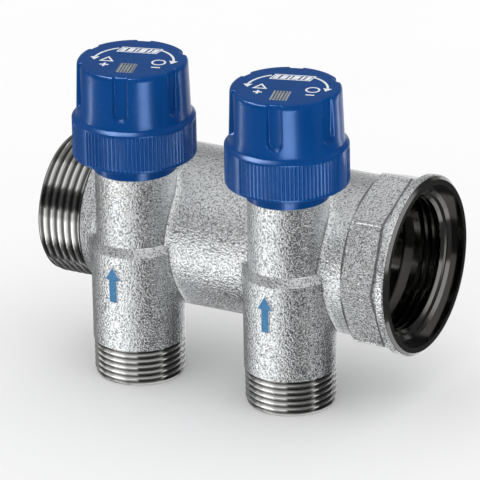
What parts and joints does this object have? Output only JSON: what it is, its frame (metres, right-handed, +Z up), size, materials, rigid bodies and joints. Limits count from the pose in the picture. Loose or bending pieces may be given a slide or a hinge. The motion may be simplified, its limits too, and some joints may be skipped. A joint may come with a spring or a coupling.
{
  "type": "underfloor heating manifold",
  "caption": "Plated brass heating manifold bar with a handwheel shut-off valve over each threaded outlet, male thread at one end and octagonal female thread at the other.",
  "frame": {"origin": "on the bar's axis, midway between the outlet towers, where a wall bracket holds the bar", "axes": "+Z up, +X along the bar from the male thread to the female thread, -Y the front, where the towers stand"},
  "size_m": [0.1175, 0.064, 0.0972],
  "materials": {
    "plated_brass": "fine sand-cast skin under bright nickel plating; machined faces and threads polished",
    "brass": "turned brass, fine tool marks",
    "elastomer": "moulded black EPDM",
    "slip_plastic": "natural acetal",
    "spring_steel": "oiled spring steel",
    "stainless": "turned stainless steel",
    "blue_plastic": "moulded royal blue, satin gloss",
    "grey_plastic": "moulded blue-grey, satin"
  },
  "bodies": {
    "manifold": {"manifold_bar": "plated_brass", "manifold_tower_1": "plated_brass", "manifold_tower_2": "plated_brass", "bonnet_1": "brass", "bonnet_o_ring_1": "elastomer", "stem_washer_1": "slip_plastic", "base_collar_1": "blue_plastic", "bonnet_2": "brass", "bonnet_o_ring_2": "elastomer", "stem_washer_2": "slip_plastic", "base_collar_2": "blue_plastic"},
    "spindle_1": {"stem_1": "brass", "stem_o_rings_1": "elastomer", "stem_circlip_1": "spring_steel", "handwheel_1": "blue_plastic", "hub_clip_1": "spring_steel", "index_plate_1": "grey_plastic"},
    "plug_1": {"plug_1": "brass", "seal_disc_1": "elastomer", "seal_screw_1": "stainless"},
    "spindle_2": {"stem_2": "brass", "stem_o_rings_2": "elastomer", "stem_circlip_2": "spring_steel", "handwheel_2": "blue_plastic", "hub_clip_2": "spring_steel", "index_plate_2": "grey_plastic"},
    "plug_2": {"plug_2": "brass", "seal_disc_2": "elastomer", "seal_screw_2": "stainless"}
  },
  "joints": [
    {"name": "handwheel_turn_1", "type": "hinge", "parent": "manifold", "child": "spindle_1", "pos_m": [-0.025, -0.0194, 0.03], "axis": [0, 0, 1], "range_deg": [0, 900]},
    {"name": "plug_lift_1", "type": "slide", "parent": "manifold", "child": "plug_1", "axis": [0, 0, 1], "range_m": [0, 0.00375]},
    {"name": "handwheel_turn_2", "type": "hinge", "parent": "manifold", "child": "spindle_2", "pos_m": [0.025, -0.0194, 0.03], "axis": [0, 0, 1], "range_deg": [0, 900]},
    {"name": "plug_lift_2", "type": "slide", "parent": "manifold", "child": "plug_2", "axis": [0, 0, 1], "range_m": [0, 0.00375]}
  ],
  "couplings": [
    {"joint": "plug_lift_1", "follows": "handwheel_turn_1", "m_per_rad": 0.00023873},
    {"joint": "plug_lift_2", "follows": "handwheel_turn_2", "m_per_rad": 0.00023873}
  ]
}
